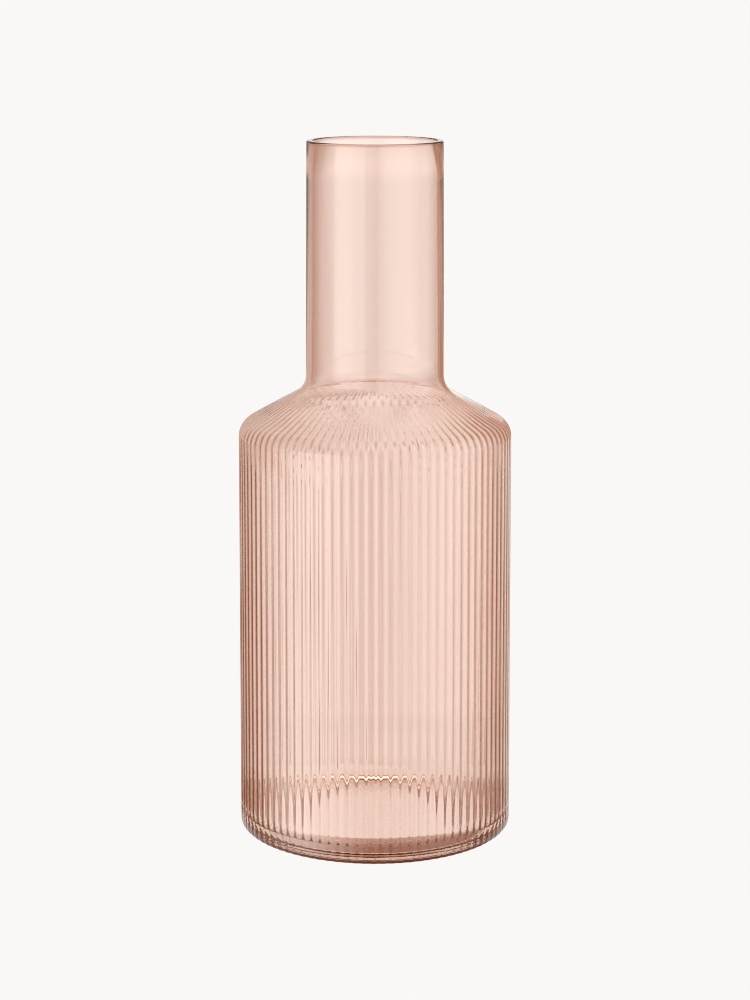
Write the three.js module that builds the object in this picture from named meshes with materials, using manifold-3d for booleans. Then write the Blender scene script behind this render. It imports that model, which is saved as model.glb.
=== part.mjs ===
// Ribbed carafe of rose-tinted blown glass: one open vessel with a smooth straight neck, a sloping
// shoulder and an upright body. Its outside is ribbed from under the foot to the root of the neck.
// Millimetres, +Z up. The origin is on the table, under the middle of the foot.
import * as THREE from "three";
import { mergeVertices } from "three/addons/utils/BufferGeometryUtils.js";
import Module from "manifold-3d";

// Outside form. Body diameters are taken over the crests of the ribs.
const HEIGHT = 255;
const RIM_DIAMETER = 49.2;
const NECK_DIAMETER = 50.4;
const SHOULDER_DIAMETER = 99.6;
const FOOT_DIAMETER = 101;
const SHOULDER_HEIGHT = 152.2;
const SHOULDER_SLOPE = THREE.MathUtils.degToRad(29.4);
const NECK_FILLET = 7.1;
const SHOULDER_ROUNDING = 7.4;
const FOOT_ROUNDING = 3.1;

// Ribs. Each one bulges between two grooves, and runs out just below the neck's fillet.
const RIB_COUNT = 90;
const RIB_DEPTH = 0.18;
const RIB_RUNOUT = 2.6;
const RIB_STOP = 0.4;

// Glass. The body's wall is measured under the grooves.
const WALL = 1.15;
const NECK_WALL = 1.4;
const RIM_WALL = 2.4;
const RIM_TAPER = 12;
const FLOOR_HEIGHT = 1.5;
const FLOOR_RISE = 4;
const HEEL_ROUNDING = 8;
const RING_WIDTH = 1.5;
const PUNT_HEIGHT = 4;

// Facets
const RIB_FACETS = 3;
const SMOOTH_FACETS = 72;
const ARC_STEPS = 3;
const DOME_STEPS = 5;

// A cut runs this far past the face that it opens.
const CUT_OVERRUN = 5;

const rimRadius = RIM_DIAMETER / 2;
const neckRadius = NECK_DIAMETER / 2;
const shoulderRadius = SHOULDER_DIAMETER / 2;
const footRadius = FOOT_DIAMETER / 2;
const innerInset = RIB_DEPTH + WALL;

// Where the ribs stop: just outside the circle on which the neck's fillet leaves the slope.
const filletReach = NECK_FILLET * Math.tan((Math.PI / 2 - SHOULDER_SLOPE) / 2);
const ribEndRadius = neckRadius + filletReach * Math.cos(SHOULDER_SLOPE) + RIB_STOP;
const ribFadeRadius = ribEndRadius + RIB_RUNOUT;

const wasm = await Module();
wasm.setup();

function corner(radius, height, rounding = 0) {
  return { at: new THREE.Vector2(radius, height), rounding };
}

// A corner on the shoulder's slope, at this radius and this deep under the crests.
function slopeCorner(radius, depth, rounding = 0) {
  const rise = (shoulderRadius - radius) * Math.tan(SHOULDER_SLOPE);
  const height = SHOULDER_HEIGHT + rise - depth / Math.cos(SHOULDER_SLOPE);
  return corner(radius, height, rounding);
}

// The arc that rounds a corner between its two neighbours.
function cornerArc(before, { at, rounding }, after) {
  const back = before.at.clone().sub(at).normalize();
  const ahead = after.at.clone().sub(at).normalize();
  const halfAngle = Math.acos(back.dot(ahead)) / 2;
  const middle = back.clone().add(ahead).normalize();
  const centre = at.clone().addScaledVector(middle, rounding / Math.sin(halfAngle));
  const start = at.clone().addScaledVector(back, rounding / Math.tan(halfAngle));
  const sweep = (Math.PI - 2 * halfAngle) * Math.sign(back.cross(ahead)) / ARC_STEPS;
  return Array.from({ length: ARC_STEPS + 1 }, (_, step) => start.clone().rotateAround(centre, -sweep * step));
}

function roundedProfile(corners) {
  return corners.flatMap((here, index) => (
    here.rounding ? cornerArc(corners[index - 1], here, corners[index + 1]) : [here.at]
  ));
}

// The outside from the foot's centre to the rim's, along a line this deep under the crests.
function outsideProfile(depth) {
  const fadeDepth = depth * ribFadeRadius / shoulderRadius;
  return roundedProfile([
    corner(0, 0),
    corner(footRadius - depth, 0, FOOT_ROUNDING),
    slopeCorner(shoulderRadius - depth, depth, SHOULDER_ROUNDING),
    slopeCorner(ribFadeRadius, fadeDepth),
    slopeCorner(ribEndRadius, 0),
    slopeCorner(neckRadius, 0, NECK_FILLET),
    corner(rimRadius, HEIGHT),
    corner(0, HEIGHT),
  ]);
}

// Points of a shallow dome, from its middle to near its edge.
function domePoints(edge, height, rise) {
  return Array.from({ length: DOME_STEPS }, (_, step) => {
    const share = step / DOME_STEPS;
    return new THREE.Vector2(edge * share, height + rise * (1 - share ** 2));
  });
}

// The hollow from the middle of the floor to past the mouth. The neck's wall thickens towards the rim.
function hollowProfile() {
  const neckRootHeight = slopeCorner(neckRadius, 0).at.y;
  const taperHeight = HEIGHT - RIM_TAPER;
  const taperShare = (taperHeight - neckRootHeight) / (HEIGHT - neckRootHeight);
  const taperRadius = THREE.MathUtils.lerp(neckRadius, rimRadius, taperShare);
  const mouthRadius = rimRadius - RIM_WALL;
  const floorRadius = footRadius - innerInset;
  return roundedProfile([
    ...domePoints(floorRadius, FLOOR_HEIGHT, FLOOR_RISE).map(({ x, y }) => corner(x, y)),
    corner(floorRadius, FLOOR_HEIGHT, HEEL_ROUNDING),
    slopeCorner(shoulderRadius - innerInset, innerInset, SHOULDER_ROUNDING - innerInset),
    slopeCorner(neckRadius - NECK_WALL, innerInset, NECK_FILLET + NECK_WALL),
    corner(taperRadius - NECK_WALL, taperHeight),
    corner(mouthRadius, HEIGHT),
    corner(mouthRadius, HEIGHT + CUT_OVERRUN),
    corner(0, HEIGHT + CUT_OVERRUN),
  ]);
}

// The shallow hollow under the foot, which leaves a flat ring to stand on.
function puntProfile() {
  const edge = footRadius - FOOT_ROUNDING - RING_WIDTH;
  return [
    new THREE.Vector2(0, -CUT_OVERRUN),
    new THREE.Vector2(edge, -CUT_OVERRUN),
    new THREE.Vector2(edge, 0),
    ...domePoints(edge, 0, PUNT_HEIGHT).reverse(),
  ];
}

function revolve(profile, facets) {
  return new THREE.LatheGeometry(profile, facets).rotateX(Math.PI / 2);
}

// The outside as a full block, each column of points set between the crest's line and the groove's.
function ribbedBlock() {
  const crest = outsideProfile(0);
  const groove = outsideProfile(RIB_DEPTH);
  const columns = RIB_COUNT * RIB_FACETS;
  const block = revolve(crest, columns);
  const position = block.getAttribute("position");
  const point = new THREE.Vector2();
  for (let column = 0; column <= columns; column += 1) {
    const across = (column % RIB_FACETS) / RIB_FACETS;
    const depthShare = (2 * across - 1) ** 2;
    const turn = 2 * Math.PI * column / columns;
    crest.forEach((crestPoint, row) => {
      point.lerpVectors(crestPoint, groove[row], depthShare);
      const index = column * crest.length + row;
      position.setXYZ(index, point.x * Math.sin(turn), -point.x * Math.cos(turn), point.y);
    });
  }
  return block.rotateZ(Math.PI / RIB_COUNT);
}

function toSolid(geometry) {
  const shape = geometry.clone();
  shape.deleteAttribute("normal");
  shape.deleteAttribute("uv");
  const merged = mergeVertices(shape);
  return new wasm.Manifold(new wasm.Mesh({
    numProp: 3,
    vertProperties: new Float32Array(merged.getAttribute("position").array),
    triVerts: new Uint32Array(merged.index.array),
  }));
}

function toGeometry(solid) {
  const { vertProperties, triVerts } = solid.getMesh();
  const geometry = new THREE.BufferGeometry();
  geometry.setAttribute("position", new THREE.BufferAttribute(vertProperties, 3));
  geometry.setIndex(new THREE.BufferAttribute(triVerts, 1));
  geometry.computeVertexNormals();
  return geometry;
}

function carafeGlass() {
  const hollow = toSolid(revolve(hollowProfile(), SMOOTH_FACETS));
  const punt = toSolid(revolve(puntProfile(), SMOOTH_FACETS));
  const glass = toSolid(ribbedBlock()).subtract(hollow).subtract(punt);
  const material = new THREE.MeshStandardMaterial({
    color: 0xe6c3b3,
    roughness: 0.05,
    metalness: 0,
    transparent: true,
    opacity: 0.45,
  });
  const mesh = new THREE.Mesh(toGeometry(glass), material);
  mesh.name = "carafe_glass";
  return mesh;
}

const carafe = new THREE.Group();
carafe.add(carafeGlass());

export default carafe;
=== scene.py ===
"""Ribbed carafe of rose-tinted blown glass: its fine mesh, its glass and the studio it stands in."""

import math
from typing import NamedTuple

import bmesh
import bpy
from bpy.props import FloatProperty, FloatVectorProperty, IntProperty, PointerProperty
from mathutils import Matrix, Vector


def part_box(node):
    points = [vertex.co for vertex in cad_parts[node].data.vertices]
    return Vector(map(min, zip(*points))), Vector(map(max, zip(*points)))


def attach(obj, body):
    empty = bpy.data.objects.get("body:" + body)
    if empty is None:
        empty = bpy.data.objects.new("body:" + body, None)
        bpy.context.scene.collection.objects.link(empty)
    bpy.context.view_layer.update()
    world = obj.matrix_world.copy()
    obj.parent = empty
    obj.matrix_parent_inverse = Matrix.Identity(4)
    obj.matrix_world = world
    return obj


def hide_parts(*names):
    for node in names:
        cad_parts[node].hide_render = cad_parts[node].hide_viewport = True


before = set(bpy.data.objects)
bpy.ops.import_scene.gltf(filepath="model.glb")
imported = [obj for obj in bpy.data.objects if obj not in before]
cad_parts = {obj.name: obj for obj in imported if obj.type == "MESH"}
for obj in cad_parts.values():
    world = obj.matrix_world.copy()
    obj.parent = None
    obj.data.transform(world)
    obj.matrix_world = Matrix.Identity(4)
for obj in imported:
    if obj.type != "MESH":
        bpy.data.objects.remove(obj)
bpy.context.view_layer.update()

bl_info = {
    "name": "Ribbed Glass Carafe",
    "version": (1, 0, 0),
    "blender": (4, 5, 0),
    "location": "View3D > Sidebar > Carafe",
    "description": "Builds a ribbed carafe of tinted blown glass and a studio for it",
    "category": "Add Mesh",
}

SOLID = "carafe_glass"
BODY = "root"
GLASS_SLOT = "rose_glass"
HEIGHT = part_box(SOLID)[1].z
MM = 0.001
TURN = 2 * math.pi
AXIS = {"cent": (0, 0, 0), "axis": (0, 0, 1)}
MERGE_DISTANCE = 0.001 * MM

# Steps of the section's domes and arcs, of the ribs' fading, and across one rib.
DOME_STEPS = 6
RING_STEPS = 4
FOOT_STEPS = 10
BEND_STEPS = 12
RIM_STEPS = 5
TAPER_STEPS = 4
INNER_BEND_STEPS = 10
HEEL_STEPS = 12
FADE_STEPS = 6
RIB_COLUMNS = 8

# Steps round the sheets of the studio.
DISC_STEPS = 96
PANEL_STEPS = 48

# Sockets of a Mix node that take two colours and give one.
MIX_FIRST = 6
MIX_SECOND = 7
MIX_RESULT = 2

# The level at a curve's top, the place of bearing 0 along it, and the level that has the dusk colour.
LEVEL_TOP = 4.0
CURVE_MIDDLE = 0.5
DUSK_LEVEL = 0.4


# Levels are pairs of a bearing in degrees, 0 behind the part and -90 on its left, and a brightness, 1 for
# the pale ground.
class Tier(NamedTuple):
    """Levels that take over between two heights."""

    start: float
    end: float
    levels: list


class Cloth(NamedTuple):
    """A curved panel: its bearings in degrees, its distance, its lower and upper edge, and its light."""

    first: float
    last: float
    distance: float
    low: float
    high: float
    levels: list
    tiers: list


def neck_levels(band):
    """Levels of the backdrop behind the neck, with a bright band in the middle."""
    return [
        (-50, 0.1), (-45, 0.6), (-14, 0.6), (-8, 0.8), (-4.5, band), (14, band),
        (17, 0.35), (40, 0.35), (60, 0.05),
    ]


# A dip right of the middle that both lower tiers of the backdrop have.
DIP = [(3, 1.02), (7.5, 0.81), (12.5, 0.68), (18, 0.57), (20.5, 1.03)]
BACKDROP_LOW = [
    (-92, 0.95), (-84, 1.0), (-78, 0.7), (-72, 0.4), (-62, 0.5), (-57, 0.12), (-48, 0.02), (-26.5, 0.03),
    (-23, 1.0), (-12, 1.1), *DIP, (35.5, 0.96), (38, 0.08), (46, 0.0), (53, 0.05), (57, 0.25),
    (75, 0.3), (80, 0.35), (94, 0.5),
]
BACKDROP_DEEP = [
    (-92, 0.9), (-84, 0.9), (-78, 0.5), (-72, 0.25), (-66, 0.15), (-60, 0.04), (-48, 0.0), (-23.5, 0.02),
    (-20, 0.97), (-12, 1.06), *DIP, (32, 0.94), (34.5, 0.05), (46, 0.0), (60, 0.03), (66, 0.2),
    (75, 0.25), (80, 0.3), (94, 0.5),
]

SOFTBOX = [(-165, 0), (-162, 1.1), (-130, 1.7), (-118, 1.7), (-100, 0), (-80, 0)]
SOFTBOX_LOW = [
    (-170, 0.3), (-163, 0.42), (-158, 0.74), (-153, 1.14), (-147, 1.4), (-138, 2.0), (-130, 1.9),
    (-122, 2.3), (-112, 2.6), (-100, 2.4), (-95, 1.5), (-91, 1.0), (-80, 0.6),
]
FILL = [(56, 0), (86, 1.15), (100, 1.15), (110, 0.98), (160, 0.98), (172, 0.69)]
FILL_LOW = [
    (56, 0.4), (75, 0.5), (80, 0.35), (94, 0.5), (98, 0.6), (101, 1.45), (115, 1.35), (137, 1.5),
    (141, 0.95), (168, 0.85), (176, 0.4),
]

PANELS = {
    "backdrop": Cloth(
        first=-92,
        last=94,
        distance=1.5,
        low=-2.5,
        high=2.5,
        levels=neck_levels(band=1.03),
        tiers=[
            Tier(start=0.0, end=0.14, levels=neck_levels(band=1.17)),
            Tier(start=-0.06, end=-0.14, levels=BACKDROP_LOW),
            Tier(start=-0.24, end=-0.32, levels=BACKDROP_DEEP),
        ],
    ),
    "softbox": Cloth(
        first=-169,
        last=-80,
        distance=0.9,
        low=-1.0,
        high=0.36,
        levels=SOFTBOX,
        tiers=[Tier(start=0.06, end=-0.05, levels=SOFTBOX_LOW)],
    ),
    "fill": Cloth(
        first=56,
        last=174,
        distance=1.1,
        low=-1.2,
        high=1.2,
        levels=FILL,
        tiers=[Tier(start=0.06, end=-0.05, levels=FILL_LOW)],
    ),
}


def number(name, description, default):
    """A plain number."""
    return FloatProperty(name=name, description=description, default=default)


def length(name, description, default):
    """A size in metres that the sidebar shows as a length."""
    return FloatProperty(name=name, description=description, default=default, unit="LENGTH", precision=5)


def angle(name, description, default):
    """An angle in radians that the sidebar shows in degrees."""
    return FloatProperty(name=name, description=description, default=default, subtype="ANGLE")


def colour(name, description, default):
    """A linear colour without alpha."""
    return FloatVectorProperty(
        name=name,
        description=description,
        default=default,
        subtype="COLOR",
        size=3,
    )


class CarafeForm(bpy.types.PropertyGroup):
    """Sizes of the vessel, outside diameters over the crests of the ribs."""

    height: length("Height", "Table to rim", HEIGHT)
    rim_diameter: length("Rim diameter", "Outside of the neck at the rim", 49.2 * MM)
    neck_diameter: length("Neck diameter", "Outside of the neck at its root", 50.4 * MM)
    shoulder_diameter: length("Shoulder diameter", "Body at the shoulder", 99.6 * MM)
    foot_diameter: length("Foot diameter", "Body at the foot", 101.0 * MM)
    shoulder_height: length("Shoulder height", "Where wall and slope would meet", 152.2 * MM)
    shoulder_slope: angle("Shoulder slope", "Rise of the shoulder above level", math.radians(29.4))
    neck_fillet: length("Neck fillet", "Round between slope and neck", 7.1 * MM)
    shoulder_rounding: length("Shoulder rounding", "Round between wall and slope", 7.4 * MM)
    foot_rounding: length("Foot rounding", "Round under the wall", 2.7 * MM)
    rim_rounding: length("Rim rounding", "Polished edges of the cut rim", 0.7 * MM)
    rib_count: IntProperty(name="Ribs", description="Ribs round the body", default=90, min=3)
    rib_depth: length("Rib depth", "Crest to groove", 0.18 * MM)
    rib_follow: number("Rib follow", "How far the inside follows a groove, below 0 against it", -1.46)
    rib_turn: angle("Rib turn", "Turn of a rib's crest from straight ahead", -0.0104)
    rib_fade: number("Rib fade", "How fast the ribs fade up the shoulder", 1.8)
    inner_fade: number("Inner fade", "How fast the inner ribs fade there", 3.0)
    inner_share: number("Inner share", "Part of the inner ribs that is left at the shoulder", 0.3)
    inner_runout: length("Inner run-out", "Stretch below the shoulder where they fade", 16.0 * MM)
    rib_stop: length("Rib stop", "Smooth ring between the ribs and the neck's fillet", 0.4 * MM)
    wall: length("Wall", "Glass under a groove", 1.15 * MM)
    neck_wall: length("Neck wall", "Glass of the neck", 1.4 * MM)
    rim_wall: length("Rim wall", "Glass at the rim", 2.4 * MM)
    rim_taper: length("Rim taper", "Stretch in which the neck thickens to the rim", 12.0 * MM)
    taper_rounding: length("Taper rounding", "Round where the neck starts to thicken", 60.0 * MM)
    floor_height: length("Floor height", "Table to the floor inside, at the heel", 1.5 * MM)
    floor_rise: length("Floor rise", "Rise of the floor's middle inside", 4.0 * MM)
    heel_rounding: length("Heel rounding", "Round between floor and wall inside", 8.0 * MM)
    ring_width: length("Ring width", "Flat ring that the foot stands on", 1.5 * MM)
    ring_rounding: length("Ring rounding", "Round between the ring and the hollow in it", 1.0 * MM)
    punt_height: length("Punt height", "Hollow under the foot", 4.0 * MM)


class GlassFinish(bpy.types.PropertyGroup):
    """How the glass looks."""

    blush: colour("Blush", "Tint of each crossing of the body's wall", (1.0, 0.886, 0.842))
    neck_blush: colour("Neck blush", "Tint of each crossing of the neck's wall", (1.0, 0.902, 0.866))
    neck_start: length("Neck start", "Height above which the blush pales", 158.0 * MM)
    neck_end: length("Neck end", "Height at which the neck's blush is reached", 180.0 * MM)
    rim_blush: colour("Rim blush", "Tint of each crossing of the cut rim", (0.72, 0.43, 0.33))
    rim_band: length("Rim band", "How far down from the rim its tint reaches", 1.6 * MM)
    tint: colour("Tint", "Colour that thick glass keeps", (0.80, 0.64, 0.52))
    density: number("Density", "Absorption per metre", 100.0)
    ior: number("Index", "Index of refraction", 1.5)
    wave_size: length("Wave size", "Width of the soft waves of blown glass", 9.0 * MM)
    wave_stretch: number("Wave stretch", "How much longer than wide they are", 9.0)
    wave_height: length("Wave height", "Height of the soft waves of blown glass", 0.06 * MM)


class StudioLook(bpy.types.PropertyGroup):
    """Floor, light and camera of the picture."""

    ground: colour("Ground", "Pale floor and backdrop", (0.956, 0.939, 0.922))
    room: colour("Room", "Warm dim room between the panels", (0.25, 0.085, 0.036))
    dusk: colour("Dusk", "Half light beside the panels", (0.5, 0.288, 0.2))
    backdrop: number("Backdrop", "Brightness of the backdrop", 0.96)
    softbox: number("Softbox", "Brightness of the softbox on the left", 1.0)
    fill: number("Fill", "Brightness of the fill panel on the right", 1.0)
    ceiling: colour("Ceiling", "Overhead cloth", (0.77, 0.70, 0.65))
    ceiling_height: length("Ceiling height", "Height of the overhead cloth", 1.0)
    ceiling_reach: length("Ceiling reach", "Its reach before and behind the part", 1.2)
    ceiling_width: length("Ceiling width", "Its reach to the sides", 0.3)
    lamp: number("Lamp", "Brightness of the overhead lamps", 2.4)
    lamp_height: length("Lamp height", "Height of the overhead lamps", 0.98)
    lamp_reach: length("Lamp reach", "Radius of an overhead lamp", 0.3)
    front_lamp: length("Front lamp", "How far before the part an overhead lamp hangs", 0.45)
    back_lamp: length("Back lamp", "How far behind the part an overhead lamp hangs", 0.9)
    floor_reach: length("Floor reach", "Radius of the floor", 20.0)
    floor_drop: length("Floor drop", "How far under the foot the floor lies", 1.0 * MM)
    patch_reach: length("Patch reach", "Radius of the floor that the glass sees", 58.0 * MM)
    patch_drop: length("Patch drop", "How far under the foot it lies", 0.5 * MM)
    shade: colour("Shade", "Shaded floor under the front of the foot", (0.36, 0.185, 0.13))
    shade_start: length("Shade start", "Where the shade under the foot is full", -30.0 * MM)
    shade_end: length("Shade end", "Where the shade under the foot ends", -22.0 * MM)
    shade_reach: length("Shade reach", "How far the shade reaches from the axis", 52.0 * MM)
    shade_edge: length("Shade edge", "Width of its soft edge there", 3.0 * MM)
    shade_left: length("Shade left", "Where the shade is lightest", -40.0 * MM)
    shade_right: length("Shade right", "Where the shade starts to lighten to the left", 5.0 * MM)
    shade_lift: number("Shade lift", "How much lighter it is on the left", 0.6)
    eye: FloatVectorProperty(
        name="Eye",
        description="Where the camera stands",
        default=(0.0, -0.9031, 0.3153),
        subtype="XYZ",
    )
    aim: length("Aim", "Height that the camera looks at", 0.12354)
    lens: number("Lens", "Focal length in millimetres", 90.31)
    sensor: number("Sensor", "Width of the sensor in millimetres", 36.0)


def corner(radius, height, rounding=0.0, steps=0):
    """A corner of the outline, with its rounding and the steps of its arc."""
    return Vector((radius, height)), rounding, steps


def corner_arc(before, at, after, rounding, steps):
    """Points of the arc that rounds the corner between its neighbours."""
    back = (before - at).normalized()
    ahead = (after - at).normalized()
    half = back.angle(ahead) / 2
    centre = at + (back + ahead).normalized() * (rounding / math.sin(half))
    start = at + back * (rounding / math.tan(half)) - centre
    sweep = math.copysign(math.pi - 2 * half, back.cross(ahead))
    return [centre + Matrix.Rotation(-sweep * step / steps, 2) @ start for step in range(steps + 1)]


def rounded_line(corners):
    """The outline through all corners. Those with a rounding become arcs."""
    points = []
    for index, (at, rounding, steps) in enumerate(corners):
        if rounding:
            points += corner_arc(corners[index - 1][0], at, corners[index + 1][0], rounding, steps)
        else:
            points.append(at)
    return points


class Vessel:
    """Works out the carafe's outline from its sizes."""

    def __init__(self, form):
        self.form = form
        self.neck = form.neck_diameter / 2
        self.rim = form.rim_diameter / 2
        self.shoulder = form.shoulder_diameter / 2
        self.foot = form.foot_diameter / 2
        self.inset = form.rib_depth + form.wall
        reach = form.neck_fillet * math.tan((math.pi / 2 - form.shoulder_slope) / 2)
        self.rib_end = self.neck + reach * math.cos(form.shoulder_slope) + form.rib_stop

    def slope(self, radius, depth, rounding=0.0, steps=0):
        """A corner on the shoulder's slope, this deep under the crests."""
        form = self.form
        rise = (self.shoulder - radius) * math.tan(form.shoulder_slope)
        height = form.shoulder_height + rise - depth / math.cos(form.shoulder_slope)
        return corner(radius, height, rounding, steps)

    def dome(self, edge, height, rise):
        """Points of a shallow dome from the axis to near its edge."""
        shares = [step / DOME_STEPS for step in range(DOME_STEPS)]
        return [corner(edge * share, height + rise * (1 - share * share)) for share in shares]

    def punt(self):
        """The hollow under the foot, from its middle to the standing ring."""
        form = self.form
        edge = self.foot - form.foot_rounding - form.ring_width
        ring = corner(edge, 0.0, form.ring_rounding, RING_STEPS)
        return [*self.dome(edge, 0.0, form.punt_height), ring]

    def floor(self):
        """The floor inside, from near the heel to its middle."""
        form = self.form
        edge = self.foot - self.inset
        return self.dome(edge, form.floor_height, form.floor_rise)[::-1]

    def run_out(self, depth, fade, inset=0.0):
        """The slope, on which the ribs fade towards the neck."""
        form = self.form
        start = self.shoulder - inset - form.shoulder_rounding
        corners = []
        for step in range(FADE_STEPS + 1):
            left = 1 - step / FADE_STEPS
            radius = self.rib_end + (start - self.rib_end) * left
            corners.append(self.slope(radius, inset + depth * left ** fade))
        return corners

    def line(self, depth):
        """The section from under the foot, up the outside and down the inside to the floor's middle."""
        form = self.form
        neck_root = self.slope(self.neck, 0.0)[0].y
        taper_height = form.height - form.rim_taper
        share = (taper_height - neck_root) / (form.height - neck_root)
        taper = self.neck + (self.rim - self.neck) * share - form.neck_wall
        mouth = self.rim - form.rim_wall
        bulge = depth * form.rib_follow
        inset = self.inset + bulge
        thinned = self.inset + bulge * form.inner_share
        wall_top = form.shoulder_height - form.inner_runout
        wall_radius = self.foot + (self.shoulder - self.foot) * wall_top / form.shoulder_height
        inner_neck = self.neck - form.neck_wall
        inner_fillet = form.neck_fillet + form.neck_wall
        inner_rounding = form.shoulder_rounding - self.inset
        return rounded_line([
            *self.punt(),
            corner(self.foot - depth, 0.0, form.foot_rounding, FOOT_STEPS),
            self.slope(self.shoulder - depth, depth, form.shoulder_rounding, BEND_STEPS),
            *self.run_out(depth, form.rib_fade),
            self.slope(self.neck, 0.0, form.neck_fillet, BEND_STEPS),
            corner(self.rim, form.height, form.rim_rounding, RIM_STEPS),
            corner(mouth, form.height, form.rim_rounding, RIM_STEPS),
            corner(taper, taper_height, form.taper_rounding, TAPER_STEPS),
            self.slope(inner_neck, self.inset, inner_fillet, INNER_BEND_STEPS),
            *self.run_out(bulge * form.inner_share, form.inner_fade, self.inset)[::-1],
            self.slope(self.shoulder - thinned, thinned, inner_rounding, INNER_BEND_STEPS),
            corner(wall_radius - inset, wall_top),
            corner(self.foot - inset, form.floor_height, form.heel_rounding, HEEL_STEPS),
            *self.floor(),
        ])


def rib_share(across):
    """How much of the groove's depth lies here, from the crest at a half to the grooves at 0 and 1."""
    return (1 + math.cos(TURN * across)) / 2


def ribbed_shape(form):
    """Spins the section through one rib, presses the groove into it and repeats it round the axis."""
    vessel = Vessel(form)
    pitch = TURN / form.rib_count
    shape = bmesh.new()
    inward = shape.verts.layers.float.new("groove_inward")
    lift = shape.verts.layers.float.new("groove_lift")
    verts = []
    for crest, groove in zip(vessel.line(0.0), vessel.line(form.rib_depth)):
        vert = shape.verts.new((0.0, -crest.x, crest.y))
        vert[inward] = groove.x - crest.x
        vert[lift] = groove.y - crest.y
        verts.append(vert)
    edges = [shape.edges.new(pair) for pair in zip(verts, verts[1:])]
    bmesh.ops.rotate(shape, verts=verts, cent=(0, 0, 0), matrix=Matrix.Rotation(-pitch / 2, 3, "Z"))
    bmesh.ops.spin(shape, geom=verts + edges, angle=pitch, steps=RIB_COLUMNS, **AXIS)
    for vert in shape.verts:
        share = rib_share(math.atan2(vert.co.x, -vert.co.y) / pitch + 0.5)
        radius = math.hypot(vert.co.x, vert.co.y)
        if radius:
            vert.co.xy *= 1 + share * vert[inward] / radius
        vert.co.z += share * vert[lift]
    one_rib = shape.verts[:] + shape.edges[:] + shape.faces[:]
    others = form.rib_count - 1
    bmesh.ops.spin(shape, geom=one_rib, angle=pitch * others, steps=others, use_duplicate=True, **AXIS)
    turn = Matrix.Rotation(form.rib_turn, 3, "Z")
    bmesh.ops.rotate(shape, verts=shape.verts, cent=(0, 0, 0), matrix=turn)
    bmesh.ops.remove_doubles(shape, verts=shape.verts, dist=MERGE_DISTANCE)
    bmesh.ops.recalc_face_normals(shape, faces=shape.faces)
    for face in shape.faces:
        face.smooth = True
    return shape


def set_stops(ramp, stops):
    """Gives a ramp its colours at their places."""
    for place, _ in stops[1:-1]:
        ramp.elements.new(place)
    for element, (place, shade) in zip(ramp.elements, stops):
        element.position = place
        element.color = (*shade, 1.0)


def set_spots(mapping, spots):
    """Runs a curve straight from spot to spot."""
    mapping.use_clip = False
    points = mapping.curves[0].points
    while len(points) < len(spots):
        points.new(CURVE_MIDDLE, CURVE_MIDDLE)
    for point, spot in zip(points, spots):
        point.location = spot
        point.handle_type = "VECTOR"
    mapping.update()


class Wire:
    """An output socket in a node tree. Sums, differences and products of wires add Math nodes."""

    def __init__(self, tree, socket=None):
        self.tree = tree
        self.socket = socket

    def node(self, kind, settings=None, inputs=None, output=0):
        """Adds a node, sets it up, feeds its sockets with numbers or wires and returns one output."""
        made = self.tree.nodes.new(kind)
        for name, value in (settings or {}).items():
            if name == "stops":
                set_stops(made.color_ramp, value)
            elif name == "spots":
                set_spots(made.mapping, value)
            else:
                setattr(made, name, value)
        for name, value in (inputs or {}).items():
            if isinstance(value, Wire):
                self.tree.links.new(value.socket, made.inputs[name])
            else:
                made.inputs[name].default_value = value
        return Wire(self.tree, made.outputs[output] if made.outputs else None)

    def maths(self, operation, first, second):
        """A Math node of two numbers or wires."""
        return self.node("ShaderNodeMath", {"operation": operation}, {0: first, 1: second})

    def place(self):
        """Object coordinates."""
        return self.node("ShaderNodeTexCoord", output="Object")

    def axes(self):
        """The X, Y and Z of a vector."""
        split = self.node("ShaderNodeSeparateXYZ", inputs={0: self})
        return [Wire(self.tree, socket) for socket in split.socket.node.outputs]

    def smooth_step(self, value, start, end):
        """A soft rise from 0 at the start to 1 at the end."""
        return self.node(
            "ShaderNodeMapRange",
            {"interpolation_type": "SMOOTHSTEP"},
            {"Value": value, "From Min": start, "From Max": end},
        )

    def blend(self, share, first, second):
        """A colour between two, from the first, which may be a wire, at 0 to the second at 1."""
        base = first if isinstance(first, Wire) else (*first, 1.0)
        return self.node(
            "ShaderNodeMix",
            {"data_type": "RGBA", "clamp_factor": False},
            {"Factor": share, MIX_FIRST: base, MIX_SECOND: (*second, 1.0)},
            MIX_RESULT,
        )

    def __add__(self, other):
        return self.maths("ADD", self, other)

    __radd__ = __add__

    def __mul__(self, other):
        return self.maths("MULTIPLY", self, other)

    __rmul__ = __mul__

    def __sub__(self, other):
        return self.maths("SUBTRACT", self, other)

    def __rsub__(self, other):
        return self.maths("SUBTRACT", other, self)


def empty_tree(owner):
    """Clears the node tree of a material or world and returns a wire into it."""
    owner.use_nodes = True
    owner.node_tree.nodes.clear()
    return Wire(owner.node_tree)


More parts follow.
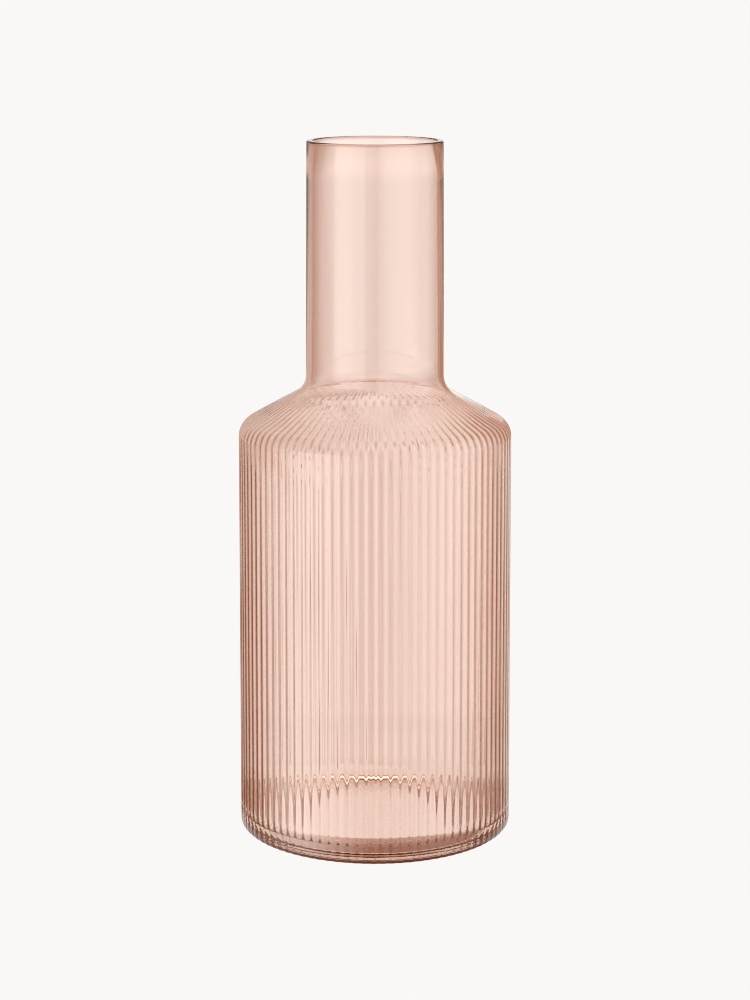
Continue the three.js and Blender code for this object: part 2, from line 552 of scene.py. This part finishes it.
def rose_glass(finish):
    """Clear glass with soft waves. Each crossing tints by height, and thick glass tints deeper."""
    material = bpy.data.materials.new(GLASS_SLOT)
    tree = empty_tree(material)
    place = tree.place()
    _, _, height = place.axes()
    paling = tree.smooth_step(height, finish.neck_start, finish.neck_end)
    wall = tree.blend(paling, finish.blush, finish.neck_blush)
    rim = tree.smooth_step(height, HEIGHT - finish.rim_band, HEIGHT)
    drawn = tree.node(
        "ShaderNodeVectorMath",
        {"operation": "MULTIPLY"},
        {0: place, 1: (1.0, 1.0, 1 / finish.wave_stretch)},
    )
    wave = tree.node(
        "ShaderNodeTexNoise",
        inputs={"Vector": drawn, "Scale": 1 / finish.wave_size, "Detail": 1.0},
    )
    waves = tree.node("ShaderNodeBump", inputs={"Height": wave, "Distance": finish.wave_height})
    surface = tree.node(
        "ShaderNodeBsdfPrincipled",
        inputs={
            "Base Color": tree.blend(rim, wall, finish.rim_blush),
            "Roughness": 0.0,
            "IOR": finish.ior,
            "Transmission Weight": 1.0,
            "Normal": waves,
        },
    )
    volume = tree.node(
        "ShaderNodeVolumeAbsorption",
        inputs={"Color": (*finish.tint, 1.0), "Density": finish.density},
    )
    tree.node("ShaderNodeOutputMaterial", inputs={"Surface": surface, "Volume": volume})
    return material


def add_object(name, shape, material):
    """A new object at the origin with this shape and material."""
    mesh = bpy.data.meshes.new(name)
    shape.to_mesh(mesh)
    shape.free()
    mesh.materials.append(material)
    made = bpy.data.objects.new(name, mesh)
    bpy.context.scene.collection.objects.link(made)
    return made


class CARAFE_OT_vessel(bpy.types.Operator):
    """Blow the ribbed glass vessel"""

    bl_idname = "carafe.vessel"
    bl_label = "Glass Vessel"

    def execute(self, context):
        shape = ribbed_shape(context.scene.carafe_form)
        vessel = add_object("carafe_vessel", shape, rose_glass(context.scene.carafe_glass))
        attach(vessel, BODY)
        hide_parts(SOLID)
        return {"FINISHED"}


def lit_material(name):
    """A new glowing material that isn't sampled as a lamp, and a wire into its tree."""
    material = bpy.data.materials.new(name)
    material.cycles.emission_sampling = "NONE"
    return material, empty_tree(material)


def shine(tree, shade, strength=1.0):
    """Ends a tree in plain emission."""
    light = tree.node("ShaderNodeEmission", inputs={"Color": shade, "Strength": strength})
    tree.node("ShaderNodeOutputMaterial", inputs={"Surface": light})


def glow(name, shade):
    """A plain even glow."""
    material, tree = lit_material(name)
    shine(tree, (*shade, 1.0))
    return material


def level_curve(tree, bearing, levels):
    """A level that runs straight from each bearing in the levels to the next."""
    spots = [(degrees / 360 + CURVE_MIDDLE, part / LEVEL_TOP) for degrees, part in levels]
    spots = [(0.0, spots[0][1]), *spots, (1.0, spots[-1][1])]
    along = bearing * (1 / TURN) + CURVE_MIDDLE
    level = tree.node("ShaderNodeFloatCurve", {"spots": spots}, {"Value": along})
    return level * LEVEL_TOP


def bearing_glow(name, look, bright, cloth):
    """Light by bearing, counted from the side away from the lens, in colours from room to bright."""
    material, tree = lit_material(name)
    across, along, height = tree.place().axes()
    bearing = tree.maths("ARCTAN2", across, along)
    level = level_curve(tree, bearing, cloth.levels)
    for tier in cloth.tiers:
        share = tree.smooth_step(height, tier.start, tier.end)
        level = level + share * (level_curve(tree, bearing, tier.levels) - level)
    stops = [(0.0, look.room), (DUSK_LEVEL, look.dusk), (1.0, bright)]
    ramp = tree.node("ShaderNodeValToRGB", {"stops": stops}, {"Fac": level})
    shine(tree, ramp, tree.maths("MAXIMUM", level, 1.0))
    return material


def footprint(look):
    """Pale floor close to the part, shaded under the front of the foot."""
    material, tree = lit_material("footprint")
    place = tree.place()
    across, along, _ = place.axes()
    away = tree.node("ShaderNodeVectorMath", {"operation": "LENGTH"}, {0: place}, "Value")
    front = tree.smooth_step(along, look.shade_end, look.shade_start)
    under = tree.smooth_step(away, look.shade_reach, look.shade_reach - look.shade_edge)
    side = 1.0 - look.shade_lift * tree.smooth_step(across, look.shade_right, look.shade_left)
    shine(tree, tree.blend(front * under * side, look.ground, look.shade))
    return material


def stage_sheet(name, shape, material, height=0.0):
    """A sheet of the studio at this height."""
    made = add_object(name, shape, material)
    made.location.z = height
    return made


def disc(name, radius, height, material):
    """A level round sheet."""
    shape = bmesh.new()
    bmesh.ops.create_circle(shape, cap_ends=True, radius=radius, segments=DISC_STEPS)
    return stage_sheet(name, shape, material, height)


def sheet(name, width, reach, height, material):
    """A level sheet, this far to each side and before and behind."""
    shape = bmesh.new()
    bmesh.ops.create_grid(shape, size=1.0, matrix=Matrix.Diagonal((width, reach, 1.0, 1.0)))
    return stage_sheet(name, shape, material, height)


def panel(name, cloth, material):
    """A curved panel round the part that only the glass sees."""
    shape = bmesh.new()
    turn = Matrix.Rotation(-math.radians(cloth.first), 3, "Z")
    edges = (cloth.low, cloth.high)
    ends = [shape.verts.new(turn @ Vector((0.0, cloth.distance, height))) for height in edges]
    side = shape.edges.new(ends)
    sweep = math.radians(cloth.first - cloth.last)
    bmesh.ops.spin(shape, geom=[*ends, side], angle=sweep, steps=PANEL_STEPS, **AXIS)
    made = stage_sheet(name, shape, material)
    made.visible_camera = False
    return made


def lay_floor(look):
    """The floor that the camera sees, and the floor close to the part that only the glass sees."""
    floor = disc("floor", look.floor_reach, -look.floor_drop, glow("pale_floor", look.ground))
    floor.visible_glossy = False
    floor.visible_transmission = False
    patch = disc("floor_under_foot", look.patch_reach, -look.patch_drop, footprint(look))
    patch.visible_camera = False


def hang_lights(look):
    """The overhead cloth, and a lamp before and behind the part."""
    overhead = glow("overhead_cloth", look.ceiling)
    ceiling = sheet("ceiling", look.ceiling_width, look.ceiling_reach, look.ceiling_height, overhead)
    ceiling.visible_camera = False
    bulb = glow("lamp_cloth", [look.lamp * part for part in look.ground])
    for place in (-look.front_lamp, look.back_lamp):
        lamp = disc("lamp", look.lamp_reach, look.lamp_height, bulb)
        lamp.location.y = place
        lamp.visible_camera = False
        lamp.visible_glossy = False


def fill_room(scene, look):
    """A world that is pale to the camera and dim to the glass."""
    world = bpy.data.worlds.new("studio")
    scene.world = world
    tree = empty_tree(world)
    seen = tree.node("ShaderNodeLightPath", output="Is Camera Ray")
    pale = tree.node("ShaderNodeBackground", inputs={"Color": (*look.ground, 1.0)})
    dim = tree.node("ShaderNodeBackground", inputs={"Color": (*look.room, 1.0)})
    mixed = tree.node("ShaderNodeMixShader", inputs={0: seen, 1: dim, 2: pale})
    tree.node("ShaderNodeOutputWorld", inputs={"Surface": mixed})


def set_camera(scene, look):
    """The camera, turned to the part."""
    camera = bpy.data.objects.new("camera", bpy.data.cameras.new("camera"))
    scene.collection.objects.link(camera)
    camera.location = look.eye
    aim = Vector((0.0, 0.0, look.aim)) - camera.location
    camera.rotation_euler = aim.to_track_quat("-Z", "Y").to_euler()
    camera.data.lens = look.lens
    camera.data.sensor_width = look.sensor
    scene.camera = camera
    return camera


def hang_panels(look, camera):
    """The panels round the part, which travel with the camera."""
    for name, cloth in PANELS.items():
        bright = Vector(look.ground) * getattr(look, name)
        made = panel(name, cloth, bearing_glow(f"{name}_cloth", look, bright, cloth))
        made.parent = camera
        made.matrix_parent_inverse = camera.matrix_world.inverted()


class CARAFE_OT_stage(bpy.types.Operator):
    """Set the floor, the light and the camera"""

    bl_idname = "carafe.stage"
    bl_label = "Studio"

    def execute(self, context):
        scene = context.scene
        look = scene.carafe_studio
        lay_floor(look)
        hang_lights(look)
        fill_room(scene, look)
        camera = set_camera(scene, look)
        context.view_layer.update()
        hang_panels(look, camera)

        scene.view_settings.view_transform = "Standard"
        cycles = scene.cycles
        cycles.filter_width = 1.0
        cycles.sample_clamp_indirect = 2.0
        # Light runs round many times in the foot, and a path cut short there leaves a black line.
        cycles.max_bounces = 128
        cycles.transmission_bounces = 64
        cycles.glossy_bounces = 128
        cycles.transparent_max_bounces = 16
        return {"FINISHED"}


class CARAFE_PT_panel(bpy.types.Panel):
    """Lists the carafe's pieces and sizes"""

    bl_idname = "CARAFE_PT_panel"
    bl_label = "Carafe"
    bl_space_type = "VIEW_3D"
    bl_region_type = "UI"
    bl_category = "Carafe"

    def draw(self, context):
        column = self.layout.column()
        for operator in OPERATORS:
            column.operator(operator.bl_idname)
        for name in SETTINGS:
            group = getattr(context.scene, name)
            for key in group.__annotations__:
                column.prop(group, key)


OPERATORS = (CARAFE_OT_vessel, CARAFE_OT_stage)
SETTINGS = {"carafe_form": CarafeForm, "carafe_glass": GlassFinish, "carafe_studio": StudioLook}
CLASSES = (*SETTINGS.values(), *OPERATORS, CARAFE_PT_panel)


def register():
    for made in CLASSES:
        bpy.utils.register_class(made)
    for name, group in SETTINGS.items():
        setattr(bpy.types.Scene, name, PointerProperty(type=group))


def unregister():
    for name in SETTINGS:
        delattr(bpy.types.Scene, name)
    for made in reversed(CLASSES):
        bpy.utils.unregister_class(made)


def main():
    """Builds the carafe and its studio."""
    register()
    bpy.ops.carafe.vessel()
    bpy.ops.carafe.stage()


if __name__ == "__main__":
    main()
